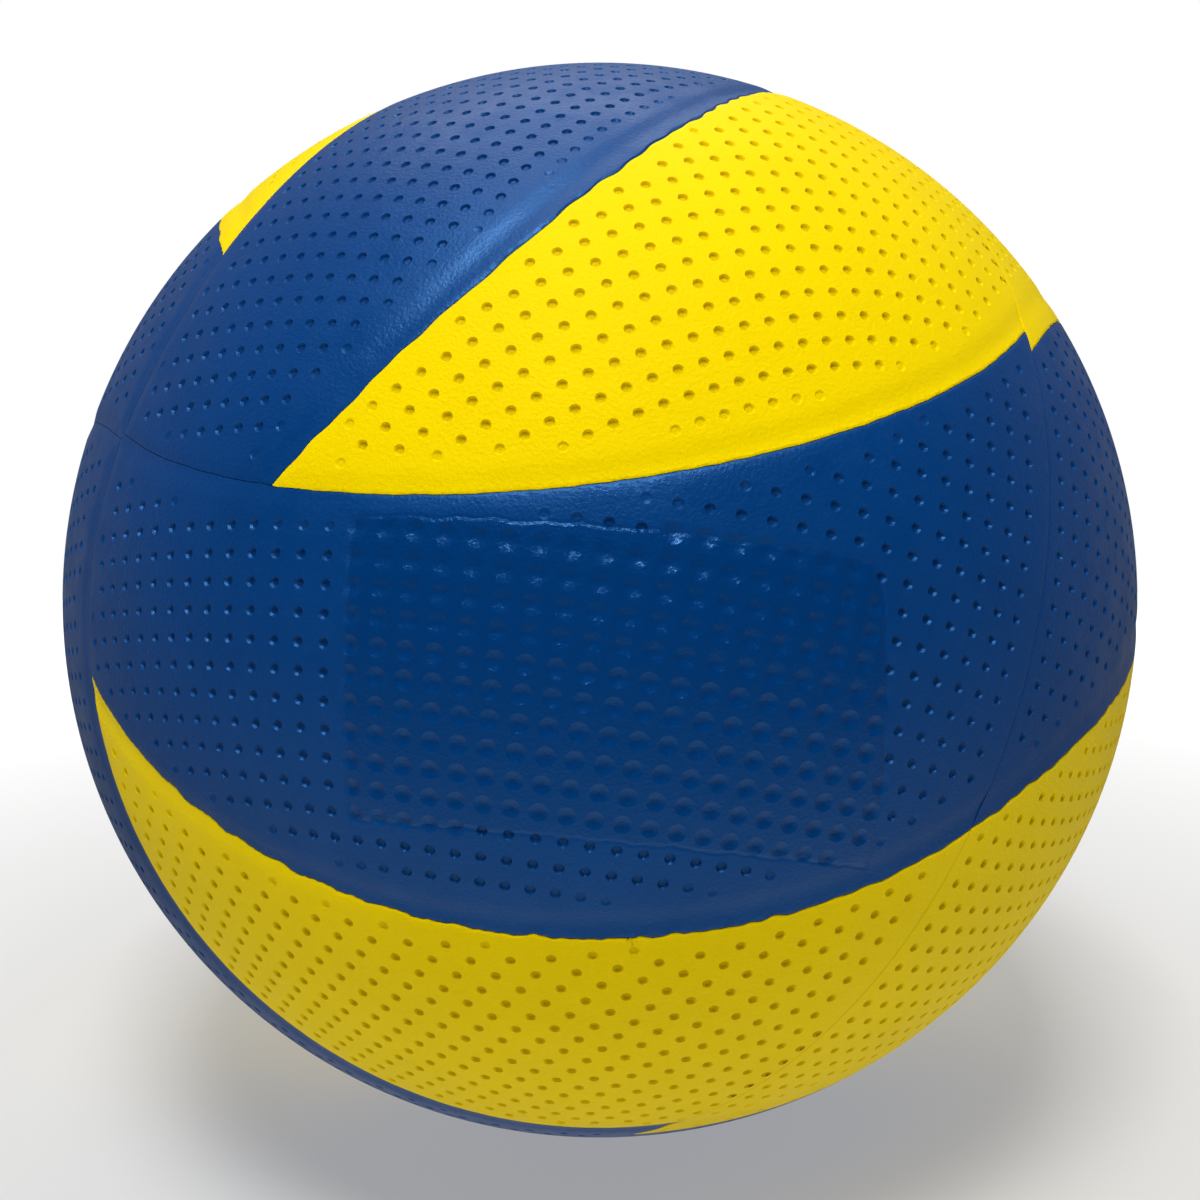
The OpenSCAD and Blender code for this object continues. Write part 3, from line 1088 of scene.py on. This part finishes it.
def place_backdrop(studio):
    """White shell all round, which only the camera sees."""
    deselect_all()
    bpy.ops.mesh.primitive_uv_sphere_add(segments=48, ring_count=24, radius=studio.backdrop_r)
    shell = bpy.context.active_object
    shell.name = "backdrop"
    _, _, shader = fresh_material("backdrop_paper")
    shader.inputs["Base Color"].default_value = (0, 0, 0, 1)
    shader.inputs["Specular IOR Level"].default_value = 0
    shader.inputs["Emission Color"].default_value = (1, 1, 1, 1)
    shader.inputs["Emission Strength"].default_value = studio.backdrop
    shell.data.materials.append(bpy.data.materials["backdrop_paper"])
    shell.visible_diffuse = False
    shell.visible_glossy = False
    shell.visible_transmission = False
    shell.visible_volume_scatter = False
    shell.visible_shadow = False


def place_camera(s, studio):
    """Camera where the photograph was taken from."""
    turned = layout_to_ball(s)
    pole = np.array(SEEN_POLE)
    pole /= np.linalg.norm(pole)
    side = np.array(SEEN_SIDE)
    side -= side @ pole * pole
    side /= np.linalg.norm(side)
    seen = np.array([side, np.cross(pole, side), pole]).T
    turn = Matrix((turned @ seen.T).tolist())
    data = bpy.data.cameras.new("camera")
    camera = bpy.data.objects.new("camera", data)
    bpy.context.scene.collection.objects.link(camera)
    away = turn @ Vector((0, 0, studio.view_distance))
    camera.matrix_world = Matrix.Translation(away) @ turn.to_4x4()
    data.sensor_width = 36
    data.sensor_fit = "HORIZONTAL"
    data.lens = studio.focal_px / studio.frame_px * data.sensor_width
    data.clip_start = 0.01
    bpy.context.scene.camera = camera


def soft_light(name, place, size, power):
    """Square soft light that faces the ball."""
    data = bpy.data.lights.new(name, "AREA")
    data.shape = "SQUARE"
    data.size = size
    data.energy = power
    lamp = bpy.data.objects.new(name, data)
    bpy.context.scene.collection.objects.link(lamp)
    lamp.location = place
    lamp.rotation_euler = (-Vector(place)).to_track_quat("-Z", "Y").to_euler()


def place_lights(studio):
    """Soft lights above and a dim room round the ball, with the pale table top that the ball mirrors."""
    soft_light("overhead", *OVERHEAD_LIGHT, studio.key_power)
    soft_light("behind", *BEHIND_LIGHT, studio.back_power)
    world = bpy.context.scene.world or bpy.data.worlds.new("studio")
    bpy.context.scene.world = world
    world.use_nodes = True
    nodes = world.node_tree.nodes
    links = world.node_tree.links
    axes = nodes.new("ShaderNodeSeparateXYZ")
    links.new(nodes.new("ShaderNodeTexCoord").outputs["Generated"], axes.inputs["Vector"])
    room = nodes["Background"]
    room.inputs["Color"].default_value = (1, 1, 1, 1)
    around = ranged(nodes, links, axes.outputs["Y"], studio.room, studio.room_back, *ROOM_STRETCH)
    table = ranged(nodes, links, axes.outputs["Z"], studio.table, 0, *TABLE_STRETCH)
    back = ranged(nodes, links, axes.outputs["Y"], 1, TABLE_BACK_SHARE, *TABLE_BACK_STRETCH)
    seen = worked(nodes, links, "MULTIPLY", table, back)
    links.new(worked(nodes, links, "MAXIMUM", around, seen), room.inputs["Strength"])


class VOLLEYBALL_PT_maker(bpy.types.Panel):
    """Steps that make the ball, in order"""

    bl_idname = "VOLLEYBALL_PT_maker"
    bl_label = "Volleyball"
    bl_space_type = "VIEW_3D"
    bl_region_type = "UI"
    bl_category = "Volleyball"

    def draw(self, context):
        column = self.layout.column()
        for step in STEPS:
            column.operator(step.bl_idname)
        for settings in ("volleyball_sizes", "volleyball_colours", "volleyball_studio"):
            group = getattr(context.scene, settings)
            for name in group.__annotations__:
                column.prop(group, name)


STEPS = (
    VOLLEYBALL_OT_rubbers,
    VOLLEYBALL_OT_front_sheets,
    VOLLEYBALL_OT_back_sheets,
    VOLLEYBALL_OT_inside,
    VOLLEYBALL_OT_stage,
)
CLASSES = (BallSettings, BallColours, StudioSettings) + STEPS + (VOLLEYBALL_PT_maker,)


def register():
    for each in CLASSES:
        bpy.utils.register_class(each)
    bpy.types.Scene.volleyball_sizes = PointerProperty(type=BallSettings)
    bpy.types.Scene.volleyball_colours = PointerProperty(type=BallColours)
    bpy.types.Scene.volleyball_studio = PointerProperty(type=StudioSettings)


def unregister():
    del bpy.types.Scene.volleyball_studio
    del bpy.types.Scene.volleyball_colours
    del bpy.types.Scene.volleyball_sizes
    for each in reversed(CLASSES):
        bpy.utils.unregister_class(each)


def main():
    """Makes the ball and its stage."""
    register()
    bpy.ops.volleyball.rubbers()
    bpy.ops.volleyball.front_sheets()
    bpy.ops.volleyball.back_sheets()
    bpy.ops.volleyball.inside()
    bpy.ops.volleyball.stage()
    deselect_all()


if __name__ == "__main__":
    main()
